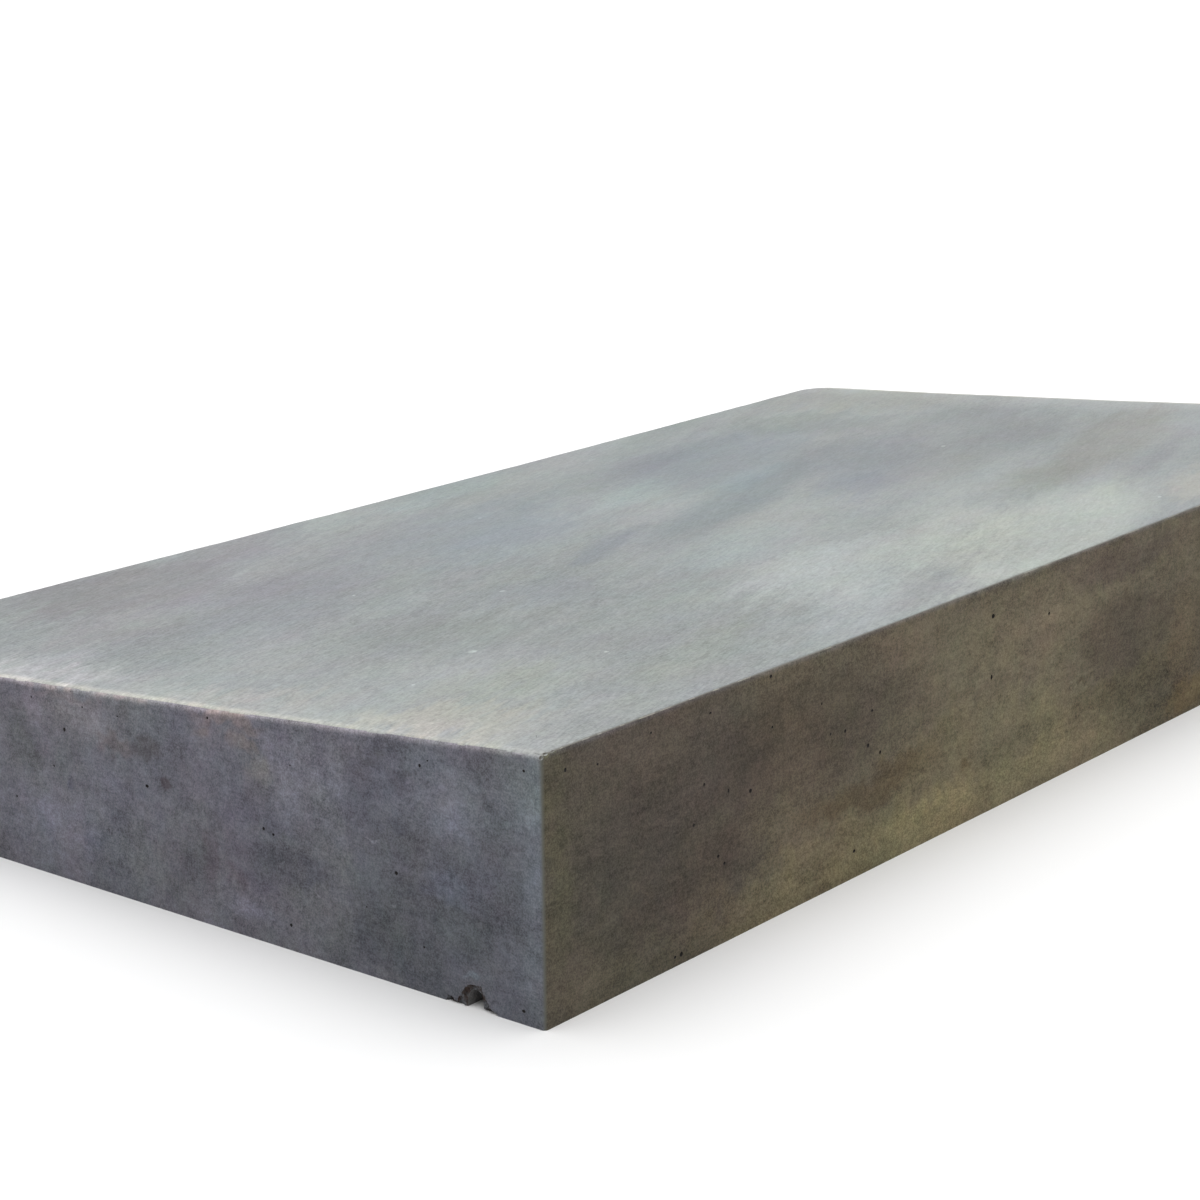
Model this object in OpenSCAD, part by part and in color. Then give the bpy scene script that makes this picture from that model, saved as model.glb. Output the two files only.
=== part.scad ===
// Coping stone for the head of a garden or parapet wall, cast in one piece of
// concrete. The bed and the sides are flat and the top is once weathered: it
// falls from the thick long edge to the thin one, so that rain runs off. A drip
// groove runs the whole length under each overhang, so that the water falls
// from its lip and doesn't creep back to the wall.
// The origin is the middle of the bed, with +X along the wall, +Y across it
// towards the thin edge and +Z up.

/* [Stone] */
// Length of the stone along the wall
stone_l = 600; // [300:5:900]
// Width of the stone across the wall
stone_w = 325; // [200:5:600]
// Height of the thick long edge, to where its square arris would be
high_t = 80; // [60:1:120]
// Height of the thin long edge, to where its square arris would be
low_t = 55; // [40:1:80]

/* [Arrises] */
// Radius of the trowelled arrises around the top
top_arris_r = 2; // [1:0.5:8]
// Radius of three of the four upright arrises
upright_arris_r = 1; // [0.5:0.5:5]
// Radius of the fourth, at the +X end of the thin edge, which is rounded off
round_corner_r = 14; // [5:1:20]

/* [Drip grooves] */
// Width of each drip groove
drip_w = 5.5; // [4:0.5:10]
// Depth of each drip groove, up to its round crown
drip_d = 5.5; // [5:0.5:15]
// Distance from a long face to the middle of its drip groove
drip_inset = 26; // [10:1:60]

/* [Hidden] */
$fn = 48;
// How far a cut runs on past the face that it opens
OVERCUT = 2;
// Length of a cut that passes right through the stone in any direction
REACH = stone_l + stone_w + high_t;
// How deep a round's centre lies behind each face, as a share of its radius:
// under 1, so that the trowelled round meets the face at a slight edge
ROUND_SET = 0.98;
// Angle at which the top falls
fall = atan((high_t - low_t) / stone_w);
mid_t = (high_t + low_t) / 2;

// Section of what is cut off outside a round, which has its centre at the
// origin, between two faces that look along a and b. It reaches past the
// square arris even where the faces meet at 60 degrees.
module round_waste(radius, a, b) {
    reach = 2 * radius + OVERCUT;
    difference() {
        polygon([[0, 0], reach * a, reach * (a + b), reach * b]);
        circle(radius);
    }
}

// Waste outside the round between the top and the long face on the given side
module long_arris_waste(side) {
    set = ROUND_SET * top_arris_r;
    y = side * (stone_w / 2 - set);
    translate([y, mid_t - y * tan(fall) - set / cos(fall)])
    round_waste(top_arris_r, [side, 0], [sin(fall), cos(fall)]);
}

// Section of a drip groove: upright sides under a half-round crown
module drip_section() {
    spring = drip_d - drip_w / 2;
    translate([-drip_w / 2, -OVERCUT]) square([drip_w, spring + OVERCUT]);
    translate([0, spring]) circle(drip_w / 2);
}

// Upright section across the stone
module stone_section() {
    difference() {
        polygon([
            [-stone_w / 2, 0], [stone_w / 2, 0],
            [stone_w / 2, low_t], [-stone_w / 2, high_t]
        ]);
        for (side = [-1, 1]) {
            long_arris_waste(side);
            translate([side * (stone_w / 2 - drip_inset), 0]) drip_section();
        }
    }
}

// Waste along the top of the +X end, which falls with the top
module end_arris_waste() {
    set = ROUND_SET * top_arris_r;
    translate([stone_l / 2 - set, 0, mid_t - set / cos(fall)])
    rotate([90 - fall, 0, 0])
    linear_extrude(REACH, center = true)
    round_waste(top_arris_r, [1, 0], [0, 1]);
}

// Waste down the upright arris at the +X end and the +Y side
module upright_arris_waste(radius) {
    set = ROUND_SET * radius;
    translate([stone_l / 2 - set, stone_w / 2 - set, 0])
    linear_extrude(REACH, center = true)
    round_waste(radius, [1, 0], [0, 1]);
}

module coping_stone() {
    color([0.56, 0.58, 0.58])
    difference() {
        rotate([90, 0, 90]) linear_extrude(stone_l, center = true) stone_section();
        for (end = [0, 1]) mirror([end, 0, 0]) {
            end_arris_waste();
            for (side = [0, 1]) mirror([0, side, 0])
            upright_arris_waste(end + side == 0 ? round_corner_r : upright_arris_r);
        }
    }
}

coping_stone();
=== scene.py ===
import math

import bpy
from mathutils import Matrix, Quaternion, Vector


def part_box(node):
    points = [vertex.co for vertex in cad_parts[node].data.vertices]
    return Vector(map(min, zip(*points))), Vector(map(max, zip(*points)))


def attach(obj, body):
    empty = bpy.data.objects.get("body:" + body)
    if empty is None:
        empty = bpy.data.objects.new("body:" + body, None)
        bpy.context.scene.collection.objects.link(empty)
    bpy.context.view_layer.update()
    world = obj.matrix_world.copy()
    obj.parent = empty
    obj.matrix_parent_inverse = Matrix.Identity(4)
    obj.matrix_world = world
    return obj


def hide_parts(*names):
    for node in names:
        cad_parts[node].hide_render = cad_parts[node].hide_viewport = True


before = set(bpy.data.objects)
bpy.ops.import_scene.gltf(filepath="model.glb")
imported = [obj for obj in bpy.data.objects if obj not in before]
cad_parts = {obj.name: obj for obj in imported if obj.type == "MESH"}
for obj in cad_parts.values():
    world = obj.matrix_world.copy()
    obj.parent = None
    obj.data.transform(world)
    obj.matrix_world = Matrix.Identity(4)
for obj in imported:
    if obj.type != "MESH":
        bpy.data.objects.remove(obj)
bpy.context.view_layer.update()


# ----------------------------------------------------------------- the studio
# The stone lies on a plain pale floor, under a soft sky that is brightest
# overhead. One large soft lamp stands behind it, so that the trowelled top
# takes a faint sheen.

FLOOR_RADIUS = 14.0
FLOOR_SIDES = 64
FLOOR_SHADE = (0.92, 0.92, 0.92, 1)
SKY_OVERHEAD = 3.45
SKY_LOW = 0.12
SKY_FALLOFF = 3.0
BACKDROP = 1.0


def node(tree, kind, **settings):
    """Adds one node to a tree and sets it up."""
    made = tree.nodes.new(kind)
    for name, value in settings.items():
        setattr(made, name, value)
    return made


def studio_floor():
    mesh = bpy.data.meshes.new("studio_floor")
    turns = [math.tau * side / FLOOR_SIDES for side in range(FLOOR_SIDES)]
    rim = [(FLOOR_RADIUS * math.cos(turn), FLOOR_RADIUS * math.sin(turn), 0) for turn in turns]
    mesh.from_pydata(rim, [], [list(range(FLOOR_SIDES))])
    material = bpy.data.materials.new("pale_floor")
    material.use_nodes = True
    tree = material.node_tree
    tree.nodes.remove(tree.nodes["Principled BSDF"])
    paint = node(tree, "ShaderNodeBsdfDiffuse")
    paint.inputs["Color"].default_value = FLOOR_SHADE
    tree.links.new(paint.outputs[0], tree.nodes["Material Output"].inputs["Surface"])
    mesh.materials.append(material)
    floor = bpy.data.objects.new("studio_floor", mesh)
    bpy.context.collection.objects.link(floor)


def soft_sky():
    """A sky that grows brighter towards the zenith. The camera sees it as a plain pale wall."""
    world = bpy.data.worlds.new("soft_sky")
    world.use_nodes = True
    tree = world.node_tree
    tree.nodes.clear()
    place = node(tree, "ShaderNodeTexCoord")
    axes = node(tree, "ShaderNodeSeparateXYZ")
    height = node(tree, "ShaderNodeMath", operation="MAXIMUM")
    power = node(tree, "ShaderNodeMath", operation="POWER")
    strength = node(tree, "ShaderNodeMath", operation="MULTIPLY_ADD")
    sky = node(tree, "ShaderNodeBackground")
    wall = node(tree, "ShaderNodeBackground")
    seen = node(tree, "ShaderNodeLightPath")
    either = node(tree, "ShaderNodeMixShader")
    out = node(tree, "ShaderNodeOutputWorld")
    height.inputs[1].default_value = 0
    power.inputs[1].default_value = SKY_FALLOFF
    strength.inputs[1].default_value = SKY_OVERHEAD
    strength.inputs[2].default_value = SKY_LOW
    wall.inputs["Strength"].default_value = BACKDROP
    wall.inputs["Color"].default_value = (1, 1, 1, 1)
    for start, end in (
        (place.outputs["Generated"], axes.inputs[0]),
        (axes.outputs["Z"], height.inputs[0]),
        (height.outputs[0], power.inputs[0]),
        (power.outputs[0], strength.inputs[0]),
        (strength.outputs[0], sky.inputs["Strength"]),
        (seen.outputs["Is Camera Ray"], either.inputs[0]),
        (sky.outputs[0], either.inputs[1]),
        (wall.outputs[0], either.inputs[2]),
        (either.outputs[0], out.inputs["Surface"]),
    ):
        tree.links.new(start, end)
    bpy.context.scene.world = world


def soft_lamp(name, place, aim, width, height, power):
    """A large white lamp. Its place, aim and size are in metres and its power in watts."""
    lamp = bpy.data.lights.new(name, "AREA")
    lamp.shape = "RECTANGLE"
    lamp.size = width
    lamp.size_y = height
    lamp.energy = power
    hung = bpy.data.objects.new(name, lamp)
    facing = (aim - place).to_track_quat("-Z", "Y")
    hung.matrix_world = Matrix.LocRotScale(place, facing, None)
    hung.visible_camera = False
    bpy.context.collection.objects.link(hung)


studio_floor()
soft_sky()
soft_lamp("back_lamp", Vector((1.9, 1.7, 1.15)), Vector((0, 0, 0.05)), 2.4, 1.2, power=12)
bpy.context.scene.view_settings.view_transform = "Standard"


# ----------------------------------------------------------------- the camera
# It stands low off the near left corner of the stone, with a fairly long lens,
# and looks along the stone, so that both ends of it leave the view.

EYE = Vector((-0.8527, -0.6276, 0.3134))
AIM = Vector((-0.0463, 0.0211, 0.0400))
ROLL = math.radians(0.47)
LENS = 84.96

lens = bpy.data.cameras.new("camera")
lens.lens = LENS
camera = bpy.data.objects.new("camera", lens)
level = (AIM - EYE).to_track_quat("-Z", "Y")
camera.matrix_world = Matrix.LocRotScale(EYE, level @ Quaternion((0, 0, 1), -ROLL), None)
bpy.context.collection.objects.link(camera)
bpy.context.scene.camera = camera


# ------------------------------------------------------------ the coping stone
# The stone is one casting of fine wet-cast concrete. It was cast bed down in a
# smooth mould, so its sides are flat and pitted with air holes, and its top
# was struck off and trowelled by hand, so it sags a little between its edges.

MM = 0.001
low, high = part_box("coping_stone")
LENGTH = high.x - low.x
WIDTH = high.y - low.y
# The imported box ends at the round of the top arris, just below the square one
HIGH_EDGE = round(high.z, 3)
LOW_EDGE = 55 * MM
TOP_ARRIS = 1.7 * MM
UPRIGHT_ARRIS = 1.3 * MM
ROUND_CORNER = 14 * MM
SAG_ALONG = 1.0 * MM
SAG_ACROSS = 0.9 * MM
MOULD_WAVE = 0.25 * MM
TROWEL_WAVE = 0.35 * MM

GROOVE_WIDTH = 5.5 * MM
GROOVE_DEPTH = 5.5 * MM
GROOVE_INSET = 26 * MM
GROOVE_RUB = 0.5 * MM

# The angle of the trowel's strokes to the length of the stone
STROKE_TURN = math.radians(17)
# Vertices of the block along each axis, and how much they crowd to its arrises
GRID = (200, 108, 28)
CROWDING = 0.82

# The finishes by number, as each face of the mesh keeps its own while it is cut
TOP, END, LONG_FACE, BED, BROKEN, AIR_HOLE = range(6)


class Wire:
    """A value on its way through a node tree. Sums of wires add the nodes that work them out."""

    def __init__(self, tree, socket):
        self.tree = tree
        self.socket = socket

    def other(self, name):
        """Another output of the node that this value comes from."""
        return Wire(self.tree, self.socket.node.outputs[name])

    def math(self, operation, *values):
        return add(self.tree, "ShaderNodeMath", (self, *values), operation=operation)

    def vector(self, operation, *values, out=0):
        return add(self.tree, "ShaderNodeVectorMath", (self, *values), out, operation=operation)

    def scaled(self, value):
        """A point or direction, times a number."""
        values = {0: self, "Scale": value}
        return add(self.tree, "ShaderNodeVectorMath", values, operation="SCALE")

    def ramp(self, start, end, low=0.0, high=1.0):
        """Runs smoothly from low to high as the value goes from start to end."""
        values = (self, start, end, low, high)
        return add(self.tree, "ShaderNodeMapRange", values, interpolation_type="SMOOTHSTEP")

    def axes(self):
        x = add(self.tree, "ShaderNodeSeparateXYZ", (self,))
        return x, x.other("Y"), x.other("Z")

    def __add__(self, value):
        return self.math("ADD", value)

    def __sub__(self, value):
        return self.math("SUBTRACT", value)

    def __rsub__(self, value):
        return self.math("MULTIPLY_ADD", -1, value)

    def __mul__(self, value):
        return self.math("MULTIPLY", value)

    def __truediv__(self, value):
        return self.math("DIVIDE", value)

    __radd__ = __add__


def add(tree, kind, values=(), out=0, **settings):
    """Adds a node, gives it its values, by place or by name, and returns one of its outputs."""
    made = node(tree, kind, **settings)
    pairs = values.items() if isinstance(values, dict) else enumerate(values)
    for entry, value in pairs:
        if isinstance(value, Wire):
            tree.links.new(value.socket, made.inputs[entry])
        else:
            made.inputs[entry].default_value = value
    return Wire(tree, made.outputs[out])


def point(tree, x, y, z):
    return add(tree, "ShaderNodeCombineXYZ", (x, y, z))


def noise(place, scale, detail=2, rough=0.5, seed=0, out="Fac"):
    """Soft random clouds, about one to each step of 1/scale metres. Each seed gives others."""
    spot = place.vector("ADD", (1.3 * seed, -0.9 * seed, 0.7 * seed))
    values = {"Vector": spot, "Scale": scale, "Detail": detail, "Roughness": rough}
    return add(place.tree, "ShaderNodeTexNoise", values, out)


def along_stroke(place):
    """Turns places so that the trowel's strokes run along X."""
    turn = {"Vector": place, "Angle": -STROKE_TURN}
    return add(place.tree, "ShaderNodeVectorRotate", turn, rotation_type="Z_AXIS")


def new_tree(name, inputs):
    """An empty Geometry Nodes tree with named inputs. Returns it and a wire from each input."""
    tree = bpy.data.node_groups.new(name, "GeometryNodeTree")
    kinds = {float: "NodeSocketFloat", int: "NodeSocketInt"}
    for way in ("INPUT", "OUTPUT"):
        tree.interface.new_socket("Geometry", in_out=way, socket_type="NodeSocketGeometry")
    for label, value in inputs.items():
        kind = kinds[type(value)]
        tree.interface.new_socket(label, in_out="INPUT", socket_type=kind)
    entry = node(tree, "NodeGroupInput")
    return tree, {s.name: Wire(tree, s) for s in entry.outputs if s.name}


def crowd(share):
    """Moves a share of a half size, from -1 to 1, towards the nearer arris."""
    return share * (1 - CROWDING) + (share * (math.pi / 2)).math("SINE") * CROWDING


def rounded_arrises(place, half, size):
    """Rounds the arrises: tight down the corners, wider and a little uneven round the top."""
    x, y, z = place.axes()
    tall = size["High edge"]
    wobble = noise(place, 40, 4, 0.7, seed=1) * 1.6 + 0.2
    top_round = size["Top arris"] * wobble.math("MINIMUM", 1.2)
    blend = z.ramp(tall - 13 * MM, tall - 3 * MM)
    radius = size["Upright arris"] * (1 - blend) + top_round * blend

    # Each point is brought in to one radius from a core that has no rounds
    core_x = x.math("MINIMUM", half[0] - radius).math("MAXIMUM", radius - half[0])
    core_y = y.math("MINIMUM", half[1] - radius).math("MAXIMUM", radius - half[1])
    core_z = z.math("MINIMUM", tall - radius)
    out = [x - core_x, y - core_y, z - core_z]
    longest = out[0].math("ABSOLUTE").math("MAXIMUM", out[1].math("ABSOLUTE"))
    longest = longest.math("MAXIMUM", out[2])
    share = longest / point(place.tree, *out).vector("LENGTH", out="Value")
    return core_x + out[0] * share, core_y + out[1] * share, core_z + out[2] * share


def rounded_corner(x, y, half, radius):
    """Rounds off in plan the corner at the +X end of the thin edge."""
    past_x = (x - (half[0] - radius)).math("MAXIMUM", 0)
    past_y = (y - (half[1] - radius)).math("MAXIMUM", 0)
    reach = point(x.tree, past_x, past_y, 0).vector("LENGTH", out="Value")
    cut = 1 - past_x.math("MAXIMUM", past_y) / reach
    return x - past_x * cut, y - past_y * cut


def rounded_block(tree, size):
    """The casting itself: a fine grid, crowded towards its arrises, bent to the stone's shape."""
    cube = {"Size": (2, 2, 2)}
    cube.update(zip(("Vertices X", "Vertices Y", "Vertices Z"), GRID))
    grid = add(tree, "GeometryNodeMeshCube", cube)
    spot = add(tree, "GeometryNodeInputPosition")
    across = [crowd(share) for share in spot.axes()]
    half = size["Length"] * 0.5, size["Width"] * 0.5
    tall = size["High edge"]
    place = point(tree, across[0] * half[0], across[1] * half[1], (across[2] + 1) * 0.5 * tall)
    x, y, z = rounded_arrises(place, half, size)
    x, y = rounded_corner(x, y, half, size["Round corner"])

    # The fall of the top and its sag, and the slight waves of mould and trowel
    fall = (tall - size["Low edge"]) * (y / size["Width"] + 0.5)
    sag_x = (1 - across[0] * across[0]) * size["Sag along"]
    sag_y = (1 - across[1] * across[1]) * size["Sag across"]
    lift = (z / (tall - size["Top arris"] * 2)).math("MINIMUM", 1)
    mould = noise(place, 14, 2, 0.5, seed=2) * size["Mould wave"]
    stroke = along_stroke(place).vector("MULTIPLY", (1, 3, 1))
    trowel = noise(stroke, 12, 3, 0.6, seed=3) * size["Trowel wave"]
    bent = point(
        tree,
        x - across[0] * mould,
        y - across[1] * mould,
        z - (fall + sag_x + sag_y + trowel) * lift,
    )
    return add(tree, "GeometryNodeSetPosition", {"Geometry": grid, "Position": bent})


def drip_grooves(tree, size):
    """One bar for each drip groove, to be cut out of the bed: upright sides, a round crown."""
    radius = size["Groove width"] * 0.5
    long = size["Length"] * 1.1
    bars = []
    for side in (-1, 1):
        tube = {"Vertices": 24, "Side Segments": 80, "Radius": radius, "Depth": long}
        bar = add(tree, "GeometryNodeMeshCylinder", tube)
        middle = point(
            tree,
            0,
            (size["Width"] * 0.5 - size["Groove inset"]) * side,
            size["Groove depth"] - radius,
        )
        turn = {"Geometry": bar, "Rotation": (0, math.pi / 2, 0)}
        bar = add(tree, "GeometryNodeTransform", turn)

        # The lower half of the bar is drawn down past the bed, and its sides are rubbed uneven
        spot = add(tree, "GeometryNodeInputPosition")
        below = spot.axes()[2].math("LESS_THAN", -0.1 * MM)
        drop = point(tree, 0, 0, below * -2 * size["Groove depth"])
        rub = noise(spot, 160, 2, 0.5, seed=5 + side, out="Color")
        rub = rub.vector("SUBTRACT", (0.5, 0.5, 0.5)).vector("MULTIPLY", (0, GROOVE_RUB, GROOVE_RUB))
        shift = drop.vector("ADD", rub).vector("ADD", middle)
        bars.append(add(tree, "GeometryNodeSetPosition", {"Geometry": bar, "Offset": shift}))
    return bars


# Where the near mouth of the front groove broke out as the groove former was
# drawn: the middle of each broken hollow, out from the end, along it from the
# groove, and up, and its half sizes, in millimetres
BREAKS = [
    ((0.9, 0.1, 3.0), (2.1, 5.1, 5.1)),
    ((0.8, -2.4, 1.6), (1.7, 3.6, 3.4)),
    ((0.8, -4.6, -0.5), (2.6, 4.6, 2.2)),
    ((0.6, 6.8, -0.9), (1.8, 5.4, 1.8)),
    ((1.0, 9.0, 0.2), (2.2, 1.9, 2.0)),
    ((1.0, 5.0, 0.8), (2.0, 1.5, 2.4)),
    ((0.2, -26.0, -0.3), (0.9, 1.3, 1.0)),
]
# Where the arris crumbled at the near corner of the top: the middle of each
# small hollow, in from the end, in from the long face and down from the top,
# and its half sizes, in millimetres
CRUMBLE = [
    ((0.6, 2.6, 0.4), (0.7, 1.3, 0.5)),
    ((2.4, 0.6, 0.5), (1.1, 0.7, 0.5)),
    ((5.6, 0.5, 0.5), (1.2, 0.6, 0.4)),
    ((0.6, 0.6, 1.2), (0.6, 0.7, 0.7)),
]


def rough_ball(tree, levels, size, seed):
    """A ball with a radius of 1 and a crumbled surface. It is the shape of a missing lump."""
    ball = add(tree, "GeometryNodeMeshIcoSphere", {"Radius": 1.0, "Subdivisions": levels})
    spot = add(tree, "GeometryNodeInputPosition")
    facing = add(tree, "GeometryNodeInputNormal")
    push = facing.scaled((noise(spot, size, 3, 0.65, seed=seed) - 0.5) * 0.75)
    return add(tree, "GeometryNodeSetPosition", {"Geometry": ball, "Offset": push})


def lump_at(tree, ball, middle, reach):
    """Puts a ball in its place and gives it its half sizes, which are in millimetres."""
    placed = {"Geometry": ball, "Translation": middle, "Scale": [part * MM for part in reach]}
    return add(tree, "GeometryNodeTransform", placed)


def broken_mouth(tree, size):
    """The lumps of concrete that are missing round the near mouth of the front groove."""
    lumps = []
    for number, ((out, along, up), reach) in enumerate(BREAKS):
        middle = point(
            tree,
            size["Length"] * -0.5 - out * MM,
            size["Groove inset"] - size["Width"] * 0.5 + along * MM,
            up * MM,
        )
        lumps.append(lump_at(tree, rough_ball(tree, 5, 2.6, 10 + number), middle, reach))
    return lumps


def crumbled_corner(tree, size):
    """Small hollows where the near corner of the top has crumbled."""
    hollows = []
    for number, ((end, side, down), reach) in enumerate(CRUMBLE):
        middle = point(
            tree,
            size["Length"] * -0.5 + end * MM,
            size["Width"] * -0.5 + side * MM,
            size["High edge"] - down * MM,
        )
        hollows.append(lump_at(tree, rough_ball(tree, 4, 2.6, 30 + number), middle, reach))
    return hollows


def scatter(tree, mesh, where, apart, density, seed):
    """Points strewn over part of a mesh. Apart is the least gap and density is per square metre."""
    kind = "GeometryNodeDistributePointsOnFaces"
    values = {
        "Mesh": mesh,
        "Selection": where,
        "Distance Min": apart,
        "Density Max": density,
        "Seed": seed,
    }
    return add(tree, kind, values, "Points", distribute_method="POISSON")


def random_value(tree, least, most, seed):
    """A random number for each point or, from two triples, a random size along each axis."""
    kind = "FLOAT_VECTOR" if isinstance(least, tuple) else "FLOAT"
    values = {"Min": least, "Max": most, "Seed": seed}
    return add(tree, "FunctionNodeRandomValue", values, "Value", data_type=kind)


def put_on(tree, points, shape, size):
    """Puts a copy of a shape on each point and makes them real."""
    placed = {"Points": points, "Instance": shape, "Scale": size}
    copies = add(tree, "GeometryNodeInstanceOnPoints", placed)
    return add(tree, "GeometryNodeRealizeInstances", (copies,))


# How many chips there are at most in a square metre of arris, the least gap between two, the
# least half size of one and how much bigger it may be
CHIP_DENSITY = 9000.0
CHIP_GAP = 14 * MM
CHIP_LEAST = 0.35 * MM
CHIP_SPREAD = 0.9 * MM


def chipped_arrises(tree, block, seed):
    """Small chips knocked out of the arrises, wherever a face turns from one side to the next."""
    steepest = add(tree, "GeometryNodeInputNormal").vector("ABSOLUTE").axes()
    steepest = steepest[0].math("MAXIMUM", steepest[1]).math("MAXIMUM", steepest[2])
    spots = scatter(tree, block, steepest.math("LESS_THAN", 0.9), CHIP_GAP, CHIP_DENSITY, seed)
    size = random_value(tree, 0.0, 1.0, seed).math("POWER", 3) * CHIP_SPREAD + CHIP_LEAST
    shape = random_value(tree, (0.7, 0.7, 0.5), (1.4, 1.4, 0.9), seed)
    return put_on(tree, spots, rough_ball(tree, 2, 1.4, 20), shape.scaled(size))


# The largest air holes on the two faces by the near corner, and their radii,
# in millimetres: along the end or the long face, up, and radius
END_HOLES = [
    (-156, 74, 0.50), (-154.7, 4, 0.55), (-121, 70, 0.32), (-118, 68, 0.45), (-118, 14, 0.32),
    (-108, 34, 0.52), (-96, 21, 0.32), (-67, 58, 0.32), (-65, 8, 0.50), (-59, 35, 0.48),
    (-55, 36, 0.56), (-33, 66, 0.45), (-5, 39, 0.62), (7, 59, 0.38), (23, 59, 0.38),
    (28, 63, 0.32), (32, 50, 0.62), (38, 37, 0.45), (47, 58, 0.38), (57, 23, 0.38),
]
FACE_HOLES = [
    (-290, 73, 0.63), (-276, 71, 0.48), (-252, 74, 0.48), (-241, 3, 0.48), (-238, 3, 0.64),
    (-232, 41, 0.48), (-227, 52, 0.48), (-224, 73, 0.45), (-220, 28, 0.63), (-217, 25, 0.61),
    (-215, 47, 0.56), (-204, 44, 0.66), (-193, 61, 0.52), (-167, 62, 0.52), (-162, 51, 0.45),
    (-154, 50, 0.57), (-148, 9, 0.64), (-141, 42, 0.68), (-139, 53, 0.52), (-134, 38, 0.68),
    (-67, 47, 0.69), (-67, 68, 0.75), (-30, 61, 0.63), (-194, 77, 0.63),
]
# The same for the finer holes, which are scattered, on the bed and on the sides
FINE_HOLE_DENSITY = (500, 2000)
FINE_HOLE_GAP = 4 * MM
FINE_HOLE_LEAST = 0.12 * MM
FINE_HOLE_SPREAD = 0.30 * MM


def known_holes():
    """A point in the middle of each of the largest air holes, which holds its radius."""
    known = [(-LENGTH / 2, y * MM, z * MM, r * MM) for y, z, r in END_HOLES]
    known += [(x * MM, -WIDTH / 2, z * MM, r * MM) for x, z, r in FACE_HOLES]
    spots = bpy.data.meshes.new("air_holes")
    spots.from_pydata([hole[:3] for hole in known], [], [])
    radii = spots.attributes.new("hole_radius", "FLOAT", "POINT")
    for entry, hole in zip(radii.data, known):
        entry.value = hole[3]
    return spots


def air_holes(tree, block, known, seed):
    """Small round pits: the known large ones, and finer ones scattered on the sides and the bed."""
    up = add(tree, "GeometryNodeInputNormal").axes()[2]
    density = up.ramp(-0.8, -0.2, *FINE_HOLE_DENSITY)
    fine = scatter(tree, block, up.math("LESS_THAN", 0.3), FINE_HOLE_GAP, density, seed)
    size = random_value(tree, 0.0, 1.0, seed).math("POWER", 5) * FINE_HOLE_SPREAD + FINE_HOLE_LEAST
    store = {"Geometry": fine, "Name": "hole_radius", "Value": size}
    fine = add(tree, "GeometryNodeStoreNamedAttribute", store, data_type="FLOAT", domain="POINT")
    large = add(tree, "GeometryNodeMeshToPoints", {"Mesh": known})
    pits = []
    for points, levels in ((fine, 2), (large, 3)):
        ball = add(tree, "GeometryNodeMeshIcoSphere", {"Radius": 1.0, "Subdivisions": levels})
        kept = {"Name": "hole_radius"}
        radius = add(tree, "GeometryNodeInputNamedAttribute", kept, data_type="FLOAT")
        shape = random_value(tree, (0.75, 0.75, 0.75), (1.25, 1.25, 1.25), seed)
        pits.append(put_on(tree, points, ball, shape.scaled(radius)))
    return pits


def side_of_stone(tree, cut=False):
    """The number of the finish for each face, by the way it faces. A cutter faces inside out."""
    facing = add(tree, "GeometryNodeInputNormal").scaled(-1.0 if cut else 1.0).axes()
    long_face = facing[1].math("ABSOLUTE").math("GREATER_THAN", 0.72)
    bed = facing[2].math("LESS_THAN", -0.7)
    top = facing[2].math("GREATER_THAN", 0.8)
    return END + long_face * (LONG_FACE - END) + bed * (BED - END) + top * (TOP - END)


def finish_as(tree, shape, number):
    """Marks the faces of a shape, so that they keep their finish once another is cut with it."""
    store = {"Geometry": shape, "Name": "finish", "Value": number}
    return add(tree, "GeometryNodeStoreNamedAttribute", store, data_type="INT", domain="FACE")


def cut_out(tree, block, tools):
    cut = add(tree, "GeometryNodeMeshBoolean", operation="DIFFERENCE", solver="MANIFOLD")
    entries = cut.socket.node.inputs
    tree.links.new(block.socket, entries["Mesh 1"])
    for tool in tools:
        tree.links.new(tool.socket, entries["Mesh 2"])
    return cut


def paint_faces(tree, shape, materials):
    """Gives each face the material whose number it was marked with."""
    finish = add(tree, "GeometryNodeInputNamedAttribute", {"Name": "finish"}, data_type="INT")
    for number, material in enumerate(materials):
        here = add(tree, "FunctionNodeCompare", data_type="INT", operation="EQUAL")
        entries = [s for s in here.socket.node.inputs if s.type == "INT"]
        tree.links.new(finish.socket, entries[0])
        entries[1].default_value = number
        paint = {"Geometry": shape, "Selection": here, "Material": material}
        shape = add(tree, "GeometryNodeSetMaterial", paint)
    return shape


def stone_tree(values, materials):
    """The Geometry Nodes tree that casts the stone, then cuts, chips and pits it."""
    tree, size = new_tree("coping_stone", values)
    seed = size["Seed"]
    block = finish_as(tree, rounded_block(tree, size), side_of_stone(tree))
    chips = chipped_arrises(tree, block, seed)
    tools = [finish_as(tree, bar, BED) for bar in drip_grooves(tree, size)]
    tools += [finish_as(tree, lump, BROKEN) for lump in broken_mouth(tree, size)]
    tools.append(finish_as(tree, chips, side_of_stone(tree, cut=True)))
    tools += [finish_as(tree, hollow, TOP) for hollow in crumbled_corner(tree, size)]
    stone = cut_out(tree, block, tools)
    for pit in air_holes(tree, block, size["Geometry"], seed):
        stone = cut_out(tree, stone, [finish_as(tree, pit, AIR_HOLE)])
    shape = add(tree, "GeometryNodeRealizeInstances", (stone,))
    shape = paint_faces(tree, shape, materials)
    tree.links.new(shape.socket, node(tree, "NodeGroupOutput").inputs[0])
    return tree


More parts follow.
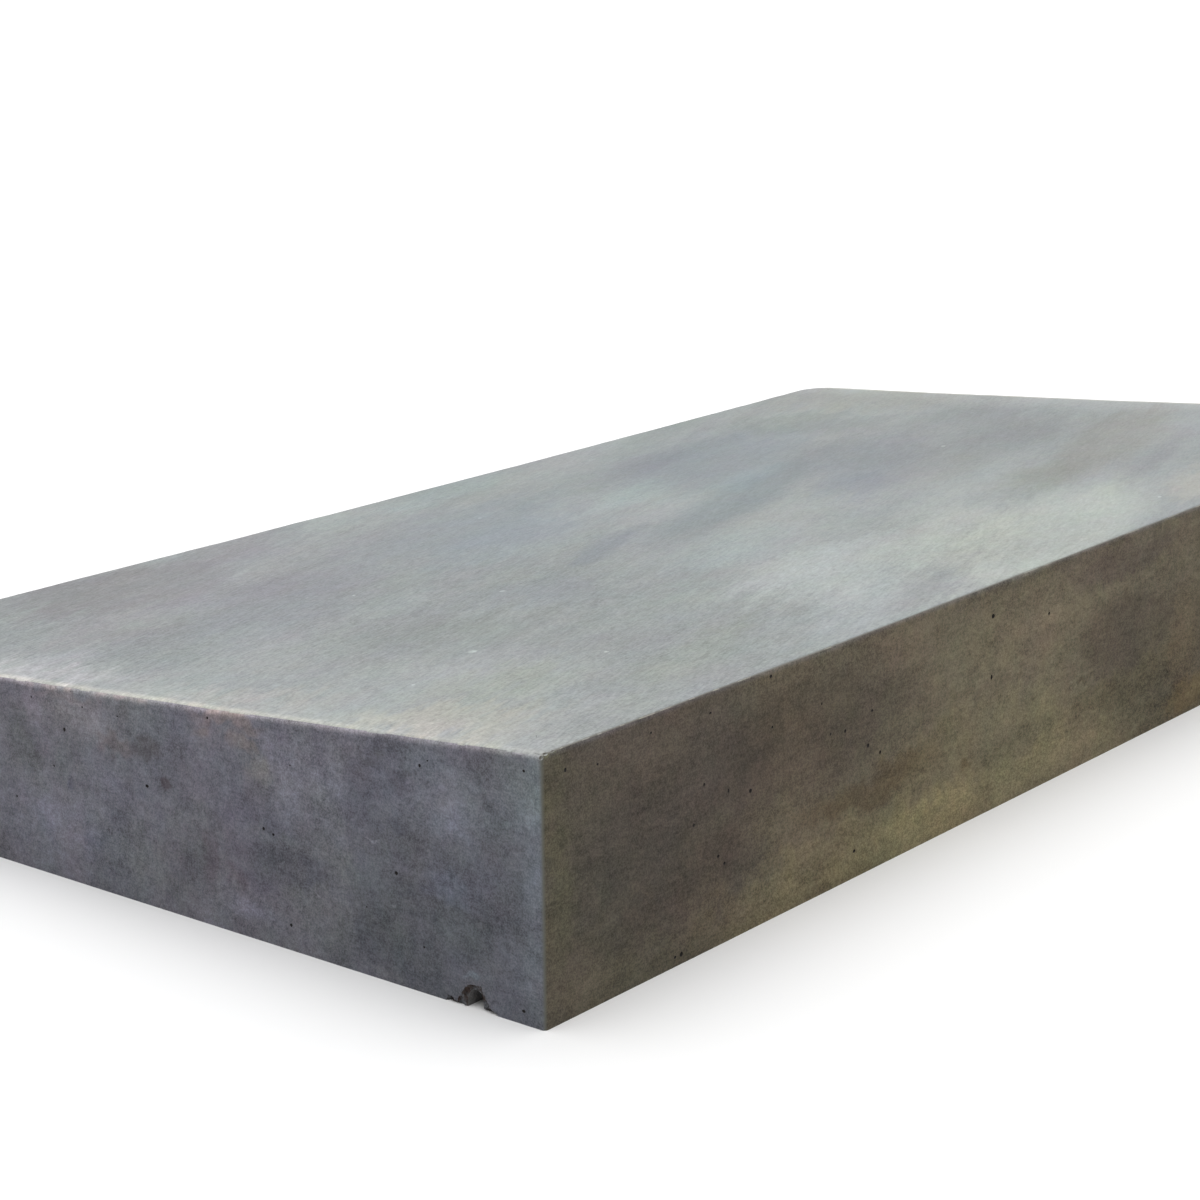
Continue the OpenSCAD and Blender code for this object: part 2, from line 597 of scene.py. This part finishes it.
def cast_stone(materials):
    """Casts the stone and returns it as one object with a plain mesh."""
    values = {
        "Length": LENGTH,
        "Width": WIDTH,
        "High edge": HIGH_EDGE,
        "Low edge": LOW_EDGE,
        "Top arris": TOP_ARRIS,
        "Upright arris": UPRIGHT_ARRIS,
        "Round corner": ROUND_CORNER,
        "Sag along": SAG_ALONG,
        "Sag across": SAG_ACROSS,
        "Mould wave": MOULD_WAVE,
        "Trowel wave": TROWEL_WAVE,
        "Groove width": GROOVE_WIDTH,
        "Groove depth": GROOVE_DEPTH,
        "Groove inset": GROOVE_INSET,
        "Seed": 7,
    }
    tree = stone_tree(values, materials)
    form = bpy.data.objects.new("stone_form", known_holes())
    bpy.context.collection.objects.link(form)
    cast = form.modifiers.new("cast", "NODES")
    cast.node_group = tree
    for entry in tree.interface.items_tree:
        if entry.in_out == "INPUT" and entry.name in values:
            cast[entry.identifier] = values[entry.name]
    shown = form.evaluated_get(bpy.context.evaluated_depsgraph_get())
    mesh = bpy.data.meshes.new_from_object(shown)
    form.modifiers.remove(cast)
    bpy.data.objects.remove(form)
    mesh.name = "cast_coping_stone"
    for spare in ("finish", "hole_radius"):
        if spare in mesh.attributes:
            mesh.attributes.remove(mesh.attributes[spare])
    if mesh.materials[0] is None:
        mesh.materials.pop(index=0)
    mesh.shade_smooth()
    mesh.set_sharp_from_angle(angle=math.radians(32))
    made = bpy.data.objects.new("cast_coping_stone", mesh)
    bpy.context.collection.objects.link(made)
    return made


# Where a mix node takes its two colours, and where it gives out their blend
MIX_COLOURS = (6, 7)
MIX_BLEND = 2


def colour_mix(share, first, second, blend="MIX"):
    """Blends two colours. Either may be a wire or a plain colour."""
    values = {0: share}
    for entry, colour in zip(MIX_COLOURS, (first, second)):
        values[entry] = colour if isinstance(colour, Wire) else (*colour, 1)
    return add(share.tree, "ShaderNodeMix", values, MIX_BLEND, data_type="RGBA", blend_type=blend)


def grey(value):
    return point(value.tree, value, value, value)


def new_group(name, number, outputs):
    """An empty shader group that takes a point and one number, and the ends of its wires."""
    tree = bpy.data.node_groups.new(name, "ShaderNodeTree")
    for label, kind in (("Point", "NodeSocketVector"), (number, "NodeSocketFloat")):
        tree.interface.new_socket(label, in_out="INPUT", socket_type=kind)
    for label, kind in outputs.items():
        tree.interface.new_socket(label, in_out="OUTPUT", socket_type=kind)
    given = node(tree, "NodeGroupInput").outputs
    leave = node(tree, "NodeGroupOutput").inputs
    return tree, Wire(tree, given["Point"]), Wire(tree, given[number]), leave


def grain_group():
    """The fine grain of cement and sand: lighter and darker specks, and their height."""
    outputs = {"Shade": "NodeSocketFloat", "Height": "NodeSocketFloat"}
    tree, place, size, leave = new_group("cement_grain", "Size", outputs)
    spot = place.scaled(size.math("POWER", -1))
    fine = noise(spot, 1.0, 1, 0.8)
    coarse = noise(spot, 0.35, 1, 0.6, seed=3)
    tree.links.new((fine * 0.7 + coarse * 0.3).ramp(0.3, 0.7).socket, leave["Shade"])
    tree.links.new(fine.socket, leave["Height"])
    return tree


def tint_group():
    """How the cement drifts in colour from place to place, about a plain zero."""
    tree, place, scale, leave = new_group("cement_tint", "Scale", {"Tint": "NodeSocketVector"})
    cloud = noise(place, scale, 4, 0.85, seed=2, out="Color")
    tree.links.new(cloud.vector("SUBTRACT", (0.5, 0.5, 0.5)).socket, leave["Tint"])
    return tree


GRAIN = grain_group()
TINT = tint_group()
TINT_SCALE = 20.0


def grain_at(place, speck):
    """The cement grain in a material. Speck is the size of one speck."""
    return add(place.tree, "ShaderNodeGroup", (place, speck), node_tree=GRAIN)


def tint_at(place):
    return add(place.tree, "ShaderNodeGroup", (place, TINT_SCALE), node_tree=TINT)


def open_finish(material, sheen=0.5, rough=0.5):
    """Readies a material. Returns its tree, the entries of its paint and the place on the stone."""
    material.use_nodes = True
    tree = material.node_tree
    paint = tree.nodes["Principled BSDF"].inputs
    paint["Specular IOR Level"].default_value = sheen
    paint["Roughness"].default_value = rough
    return tree, paint, add(tree, "ShaderNodeTexCoord", out="Object")


def lay_on(paint, skin, relief):
    """Gives a material its colour, and its relief in metres."""
    tree = skin.tree
    bump = add(tree, "ShaderNodeBump", {"Height": relief, "Distance": 1.0, "Strength": 1.0})
    tree.links.new(skin.socket, paint["Base Color"])
    tree.links.new(bump.socket, paint["Normal"])


def stained(skin, spot, stains, turn=0.0):
    """Lays soft-edged ovals over a colour. Spot is the place on the face, in millimetres.

    Turn is the angle of the ovals, and spot comes turned back by it.
    """
    along, across = math.cos(turn), math.sin(turn)
    for (u, v), (wide, tall), edge, shade in stains:
        size = (1 / wide, 1 / tall, 0)
        shift = (-(u * along + v * across) / wide, (u * across - v * along) / tall, 0)
        away = spot.vector("MULTIPLY_ADD", size, shift)
        mask = away.vector("LENGTH", out="Value").ramp(1, edge)
        skin = colour_mix(mask, skin, shade, "MULTIPLY")
    return skin


# The colour of the top, and the darker brown it takes where it turns down at its long
# arrises: painted shade and warm light, which carry it into the colour of the long faces.
# Then how much of each colour is left towards the ends, right at the end arrises and at
# a speck of lime, and how far the trowel dragged the stains, in millimetres. The pale
# band towards the ends is partly laitance and partly a painted highlight.
TOP_SHADE = (0.240, 0.260, 0.260)
ROLLOVER_SHADE = (0.155, 0.145, 0.125)
TOP_BAND = (1.30, 1.27, 1.26)
TOP_LINE = (1.50, 1.42, 1.31)
LIME = (1.75, 1.75, 1.72)
DRAG = 110

# The stains, damp and laitance on the top: where the middle of each lies and
# its half sizes, both in millimetres, how sharp its edge is, from 0 to 1, and
# how much of each colour it leaves. The ovals lie at a slant, along the strokes.
# Some are partly painted sheen: the pale ones near the -Y long face and the -X end,
# and the darker bluish ones towards +Y.
TOP_STAINS = [
    ((-190, 130), (60, 50), 0.5, (0.81, 0.76, 0.79)),
    ((-235, 80), (30, 34), 0.2, (0.92, 0.86, 0.90)),
    ((-120, 145), (60, 28), 0.3, (0.88, 0.84, 0.88)),
    ((-140, 100), (90, 40), 0.3, (0.93, 0.89, 0.93)),
    ((-175, 55), (110, 46), 0.3, (0.88, 0.87, 0.91)),
    ((-292, 60), (16, 50), 0.3, (1.32, 1.25, 1.29)),
    ((-270, 66), (18, 18), 0.2, (1.18, 1.13, 1.17)),
    ((-190, -45), (56, 70), 0.3, (0.88, 0.88, 0.88)),
    ((-128, -18), (30, 38), 0.2, (0.92, 0.93, 0.96)),
    ((-284, -35), (20, 46), 0.2, (1.16, 1.10, 1.07)),
    ((-280, -110), (30, 44), 0.3, (1.24, 1.16, 1.05)),
    ((-236, -95), (30, 34), 0.2, (1.03, 1.03, 0.95)),
    ((-195, -130), (75, 18), 0.2, (1.00, 1.01, 0.94)),
    ((-50, 82), (84, 56), 0.3, (0.88, 0.90, 0.95)),
    ((0, 96), (72, 34), 0.2, (0.88, 0.91, 0.95)),
    ((-60, 52), (72, 38), 0.2, (0.90, 0.94, 0.97)),
    ((10, 148), (60, 20), 0.3, (0.97, 1.06, 1.04)),
    ((160, 152), (110, 18), 0.2, (0.90, 0.95, 0.92)),
    ((24, 64), (40, 24), 0.2, (1.07, 1.14, 1.13)),
    ((75, 42), (48, 12), 0.3, (1.02, 1.07, 1.10)),
    ((110, 86), (112, 54), 0.3, (0.75, 0.79, 0.85)),
    ((90, 108), (52, 16), 0.3, (0.96, 0.94, 0.97)),
    ((34, 17), (116, 22), 0.3, (0.73, 0.78, 0.82)),
    ((-62, 8), (46, 12), 0.3, (0.80, 0.82, 0.88)),
    ((130, 20), (72, 40), 0.3, (0.84, 0.85, 0.90)),
    ((80, -10), (50, 26), 0.2, (0.80, 0.82, 0.89)),
    ((205, 100), (40, 44), 0.5, (0.84, 0.87, 0.85)),
    ((200, 25), (104, 62), 0.4, (0.91, 0.91, 0.92)),
    ((200, -8), (90, 30), 0.3, (0.92, 0.92, 0.92)),
    ((272, 118), (48, 62), 0.4, (0.94, 0.92, 0.87)),
    ((-45, -38), (64, 24), 0.2, (1.02, 1.09, 1.06)),
    ((-62, -100), (80, 44), 0.4, (1.30, 1.31, 1.29)),
    ((40, -68), (66, 18), 0.3, (1.16, 1.16, 1.14)),
    ((25, -95), (62, 20), 0.3, (1.25, 1.24, 1.20)),
    ((18, -136), (130, 36), 0.5, (1.38, 1.38, 1.29)),
    ((-5, -108), (70, 34), 0.3, (1.14, 1.14, 1.09)),
    ((-120, -140), (62, 22), 0.2, (1.10, 1.10, 1.12)),
    ((122, -142), (44, 22), 0.3, (1.20, 1.12, 1.04)),
    ((120, -22), (66, 26), 0.3, (0.90, 0.88, 0.88)),
    ((114, -76), (46, 22), 0.3, (0.84, 0.84, 0.78)),
    ((205, -58), (104, 24), 0.5, (0.90, 0.86, 0.82)),
    ((172, -97), (104, 9), 0.1, (0.86, 0.84, 0.87)),
    ((-282, -147), (1.0, 0.7), 0.6, (0.45, 0.45, 0.45)),
    ((-194, -160), (0.9, 0.9), 0.6, (0.35, 0.35, 0.35)),
]
# Pale specks of lime on the top: the middle of each, and its half width
LIME_SPECKS = [
    ((-134, -6), 1.7), ((-210, -59), 2.4), ((-194, -100), 1.4), ((-30, 95), 1.2), ((170, 5), 1.6),
    ((90, -140), 1.3), ((-252, -72), 0.9), ((-160, 40), 1.0),
]


def finish_trowelled_top(material):
    """The top: the trowel's strokes run slantwise along it, and drag out the stains."""
    tree, paint, place = open_finish(material, sheen=0.35)
    grit = grain_at(place, 0.9 * MM)
    stroke = along_stroke(place)
    tint = tint_at(stroke.vector("MULTIPLY", (1, 1.8, 1)))

    def streaks(thin, *clouds, seed):
        """Clouds drawn out along the strokes. Thin is how many times as long as wide they are."""
        return noise(stroke.vector("MULTIPLY", (1, thin, 1)), *clouds, seed=seed)

    cloud = streaks(2, 7, 2, 0.6, seed=3)
    smear = streaks(5, 18, 3, 0.75, seed=1) - 0.5
    ripple = streaks(6, 150, 2, 0.8, seed=4)
    ridge = streaks(3, 55, 2, 0.6, seed=9)
    spot = stroke.scaled(1 / MM)
    dragged = spot.vector("ADD", point(tree, smear * DRAG, 0, 0))
    skin = stained(TOP_SHADE, dragged, TOP_STAINS, STROKE_TURN)
    specks = [(middle, (wide, wide * 0.8), 0.4, LIME) for middle, wide in LIME_SPECKS]
    skin = stained(skin, spot, specks, STROKE_TURN)

    # The trowel's ripples and the grit are fainter towards the +X end
    x, y = place.axes()[:2]
    worked = (ripple - 0.5) * 0.8 + (ridge - 0.5) * 0.25 + (grit - 0.5) * 0.33
    worked = worked * x.ramp(-300 * MM, 150 * MM, 1.0, 0.6)
    tone = (cloud - 0.5) * 0.5 + smear * 0.25 + worked + 1
    skin = skin.vector("MULTIPLY", grey(tone))
    skin = skin.vector("MULTIPLY", tint.scaled(0.18).vector("ADD", (1, 1, 1)))

    # The top is paler towards its ends, most of all right at the arris, a band that is partly
    # laitance and partly a painted highlight. Where it turns down at the long arrises it takes
    # a painted brown shade, which carries it into the colour of the long faces.
    rim = LENGTH / 2 - x.math("ABSOLUTE")
    band = (rim + (cloud - 0.5) * (50 * MM) + smear * (30 * MM)).ramp(36 * MM, 3 * MM)
    skin = colour_mix(band * 0.8, skin, TOP_BAND, "MULTIPLY")
    line = rim.ramp(5.6 * MM, 1.4 * MM) * y.ramp(-130 * MM, -30 * MM, 0.35, 1.0)
    skin = colour_mix(line, skin, TOP_LINE, "MULTIPLY")
    rollover = place.other("Normal").axes()[1].math("ABSOLUTE").ramp(0.15, 0.65)
    skin = colour_mix(rollover, skin, ROLLOVER_SHADE)
    relief = ridge * (0.25 * MM) + ripple * (0.10 * MM) + grit.other("Height") * (0.02 * MM)
    lay_on(paint, skin, relief)
    tree.links.new((0.62 - cloud * 0.15).socket, paint["Roughness"])


# The colour of each side that lay against the mould and of its upright arrises,
# how much of each colour is left along its top arris, and how far the edges of
# its stains wander. The ends and the long faces are darker than the top partly
# with painted shade, and their tints are painted light: cool blue-grey on the ends,
# warm olive brown on the long faces. The lips are painted light too, lighter where
# the arris turns up to the top.
END_SHADE = (0.143, 0.143, 0.166)
LONG_SHADE = (0.126, 0.105, 0.069)
BED_SHADE = (0.150, 0.148, 0.145)
ARRIS_SHADE = (0.116, 0.118, 0.102)
END_LIP = (2.2, 2.1, 1.95)
LONG_LIP = (1.15, 1.25, 1.60)
WANDER = 34 * MM

# The stains and damp on the ends and on the long faces, in the same terms as
# those on the top: how far along the face and how far up each one lies. The pale
# warm ovals along the foot of the long faces are painted light, thrown up from the floor.
END_STAINS = [
    ((-130, 38), (46, 50), 0.9, (0.80, 0.81, 0.83)),
    ((-73, 57), (26, 20), 0.2, (1.27, 1.27, 1.29)),
    ((-125, 61), (30, 19), 0.3, (1.23, 1.31, 1.30)),
    ((-101, 68), (7, 4), 0.2, (0.74, 0.74, 0.70)),
    ((-115, 62), (6, 4), 0.2, (0.72, 0.70, 0.70)),
    ((-138, 62), (5, 4), 0.2, (0.84, 0.82, 0.82)),
    ((-106, 48), (9, 5), 0.2, (0.80, 0.80, 0.84)),
    ((-128, 34), (13, 8), 0.2, (1.10, 1.16, 1.24)),
    ((-112, 20), (46, 20), 0.4, (0.89, 0.90, 0.88)),
    ((-85, 11), (28, 13), 0.2, (0.89, 0.90, 0.88)),
    ((-58, 24), (24, 10), 0.3, (0.90, 0.89, 0.92)),
    ((-15, 42), (72, 24), 0.2, (0.92, 0.90, 0.94)),
    ((-152, 68), (12, 12), 0.2, (1.20, 1.28, 1.24)),
    ((-135.5, 9.8), (3.6, 1.5), 0.3, (1.26, 1.38, 1.38)),
    ((-54, 55), (7, 9), 0.2, (1.20, 1.18, 1.04)),
    ((-47, 63), (7, 5), 0.2, (1.20, 1.06, 0.94)),
    ((-32, 64), (8, 5), 0.2, (1.12, 0.99, 0.88)),
    ((-42, 69), (20, 3), 0.3, (1.25, 1.10, 0.98)),
    ((10, 66), (18, 3), 0.3, (1.22, 1.10, 1.06)),
    ((36, 63), (18, 3), 0.3, (1.16, 1.08, 1.05)),
    ((-55, 39), (18, 8), 0.2, (0.92, 0.91, 0.95)),
    ((-75, 25), (10, 6), 0.3, (0.80, 0.81, 0.86)),
    ((-45, 24), (36, 12), 0.3, (0.87, 0.85, 0.88)),
    ((-31, 20), (7, 10), 0.3, (0.82, 0.74, 0.76)),
    ((-44, 18), (5, 6), 0.2, (0.83, 0.76, 0.78)),
    ((-20, 16), (5, 7), 0.2, (0.92, 0.87, 0.89)),
    ((-47, 10), (16, 5), 0.3, (1.24, 1.26, 1.31)),
    ((12, 51), (13, 5), 0.3, (0.96, 0.86, 0.82)),
    ((-2, 53), (11, 6), 0.2, (0.68, 0.64, 0.61)),
    ((-10, 42), (4, 3), 0.2, (0.64, 0.55, 0.55)),
    ((32, 57), (32, 12), 0.2, (1.32, 1.23, 1.22)),
    ((14, 38), (16, 9), 0.2, (1.17, 1.17, 1.18)),
    ((53, 44), (9, 15), 0.5, (0.86, 0.88, 0.85)),
    ((20, 20), (24, 16), 0.2, (1.12, 1.10, 1.15)),
    ((-17, 16), (16, 13), 0.3, (0.84, 0.84, 0.85)),
    ((42, 20), (24, 20), 0.2, (1.08, 1.09, 1.12)),
    ((32, 32), (4, 4), 0.2, (0.80, 0.82, 0.90)),
    ((20, 17), (6, 4), 0.2, (0.84, 0.86, 0.88)),
    ((-137, 70), (1.6, 7), 0.1, (0.70, 0.72, 0.72)),
    ((-158, 40), (9, 90), 0.2, (1.15, 1.21, 1.18)),
    ((-161, 79), (2.4, 1.4), 0.4, (1.35, 1.45, 1.15)),
    ((-61, 23), (2.5, 0.6), 0.4, (1.50, 1.50, 1.50)),
    ((-75, 19), (2.0, 0.5), 0.4, (1.45, 1.45, 1.45)),
    ((-97, 43), (2.2, 0.5), 0.4, (1.40, 1.40, 1.40)),
    ((-104, 23), (1.8, 0.6), 0.4, (1.40, 1.40, 1.40)),
]
LONG_STAINS = [
    ((-264, 42), (84, 95), 0.6, (0.68, 0.67, 0.75)),
    ((-262, 38), (38, 34), 0.2, (0.86, 0.88, 0.95)),
    ((-264, 3), (48, 14), 0.2, (1.15, 1.21, 1.16)),
    ((-170, 54), (76, 28), 0.3, (0.71, 0.66, 0.70)),
    ((-222, 27), (26, 10), 0.2, (0.94, 0.89, 0.91)),
    ((-202, 7), (34, 15), 0.3, (1.22, 1.22, 1.15)),
    ((-138, 28), (50, 9), 0.3, (0.77, 0.69, 0.61)),
    ((-157, 2), (96, 22), 0.7, (1.24, 1.24, 1.13)),
    ((-60, 4), (150, 16), 0.5, (1.24, 1.25, 1.17)),
    ((-15, 10), (60, 22), 0.3, (1.16, 1.16, 1.14)),
    ((-70, 20), (90, 26), 0.4, (1.20, 1.20, 1.10)),
    ((-45, 52), (70, 34), 0.2, (1.20, 1.20, 1.18)),
    ((-20, 66), (17, 10), 0.2, (1.10, 1.12, 1.10)),
    ((28, 42), (46, 17), 0.55, (0.76, 0.72, 0.74)),
    ((30, 22), (52, 12), 0.2, (0.95, 0.92, 0.84)),
    ((26, 69), (56, 8), 0.4, (0.76, 0.72, 0.80)),
    ((72, 30), (16, 30), 0.3, (1.06, 1.01, 0.96)),
    ((84, 6), (40, 9), 0.3, (1.24, 1.14, 0.90)),
    ((-70, 46), (66, 3), 0.2, (0.88, 0.86, 0.86)),
    ((-80, 19), (4.0, 3.0), 0.5, (0.74, 0.69, 0.64)),
    ((-8, 32), (7.0, 2.0), 0.3, (0.68, 0.65, 0.62)),
    ((-295, 45), (9, 50), 0.2, (1.04, 1.09, 0.94)),
    ((-297, 79), (4.5, 1.6), 0.4, (1.45, 1.55, 1.20)),
    ((-283, 37), (1.6, 1.4), 0.4, (1.45, 1.45, 1.45)),
    ((190, 36), (70, 30), 0.2, (1.12, 1.10, 1.04)),
    ((240, 14), (60, 14), 0.3, (0.80, 0.78, 0.76)),
    ((0, 78.5), (330, 5), 0.3, (0.84, 0.83, 0.87)),
]


def finish_moulded_face(material, shade, lip, stains, out, along, up, gritty=0.55, stretch=1.0):
    """A side as it left the mould, mottled where the paste settled against it.

    Lip is how much of each colour is left at its top arris, and gritty how strong its grain is.
    Out, along and up are the numbers of the axes that run out of the face, along it and up it.
    A stretch under 1 draws the mottle out along X.
    """
    tree, paint, place = open_finish(material, sheen=0.35)
    facing = place.other("Normal").axes()
    grit = grain_at(place, 0.55 * MM)
    tint = tint_at(place)
    streak = noise(place.vector("MULTIPLY", (0.15, 0.15, 1)), 800, 1, 0.7, seed=8) - 0.5
    mottle = noise(place.vector("MULTIPLY", (stretch, 1, 1)), 20, 6, 0.92, seed=5)

    # The back face and the far end carry the same stains, turned round
    axes = place.vector("ADD", tint.scaled(WANDER)).scaled(1 / MM).axes()
    side = place.axes()[out].math("LESS_THAN", 0) * 2 - 1
    skin = stained(shade, point(tree, axes[along] * side, axes[up], 0), stains)

    # The shade of grey goes first, because a face without stains has a plain colour for its skin
    tone = (mottle - 0.5) * 2.3 + (grit - 0.5) * gritty + streak * 0.4 + 1
    skin = grey(tone).vector("MULTIPLY", skin)
    skin = skin.vector("MULTIPLY", tint.scaled(0.32).vector("ADD", (1, 1, 1)))

    # Painted light at the arrises: down the corners a grey-green that blends the painted
    # cool light of the ends into the painted warm light of the long faces, and along the
    # top arris a paler colour where the face turns up towards the top
    corner = facing[along].math("ABSOLUTE").ramp(0.1, 0.75)
    skin = colour_mix(corner * 0.9, skin, ARRIS_SHADE)
    skin = colour_mix(facing[2].ramp(0.02, 0.6), skin, lip, "MULTIPLY")
    lay_on(paint, skin, grit.other("Height") * (0.05 * MM))
    tree.links.new((0.88 - mottle * 0.15).socket, paint["Roughness"])


# The darkest and the palest colour in a broken place, which are partly painted shade,
# and in an air hole, whose near black is painted shade
BROKEN_SHADES = (0.040, 0.028, 0.024), (0.120, 0.125, 0.135)
HOLE_SHADES = (0.005, 0.004, 0.004), (0.022, 0.019, 0.018)


def finish_broken_face(material):
    """Where the skin broke away: rough concrete, blotched dark brown, partly dirt and partly painted
    shade.
    """
    tree, paint, place = open_finish(material, sheen=0.3, rough=0.9)
    grit = grain_at(place, 1.0 * MM)
    blotch = noise(place, 330, 2, 0.6, seed=6).ramp(0.38, 0.62)
    skin = colour_mix(blotch, *BROKEN_SHADES)
    skin = skin.vector("MULTIPLY", grey((grit - 0.5) * 0.9 + 1))
    lay_on(paint, skin, grit.other("Height") * (0.25 * MM))


def finish_air_hole(material):
    """The inside of an air hole: near black, painted shade that makes the pit look deep."""
    tree, paint, place = open_finish(material, rough=0.9)
    blotch = noise(place, 300, 2, 0.5, seed=7)
    skin = colour_mix(blotch, *HOLE_SHADES)
    tree.links.new(skin.socket, paint["Base Color"])


names = (
    "trowelled_top", "moulded_end", "moulded_long_face",
    "moulded_bed", "broken_concrete", "air_hole",
)
finishes = [bpy.data.materials.new(name) for name in names]
finish_trowelled_top(finishes[TOP])
finish_moulded_face(finishes[END], END_SHADE, END_LIP, END_STAINS, out=0, along=1, up=2)
finish_moulded_face(
    finishes[LONG_FACE], LONG_SHADE, LONG_LIP, LONG_STAINS,
    out=1, along=0, up=2, gritty=0.72, stretch=0.5,
)
finish_moulded_face(finishes[BED], BED_SHADE, END_LIP, [], out=2, along=0, up=1)
finish_broken_face(finishes[BROKEN])
finish_air_hole(finishes[AIR_HOLE])
stone = cast_stone(finishes)
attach(stone, "root")
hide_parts("coping_stone")
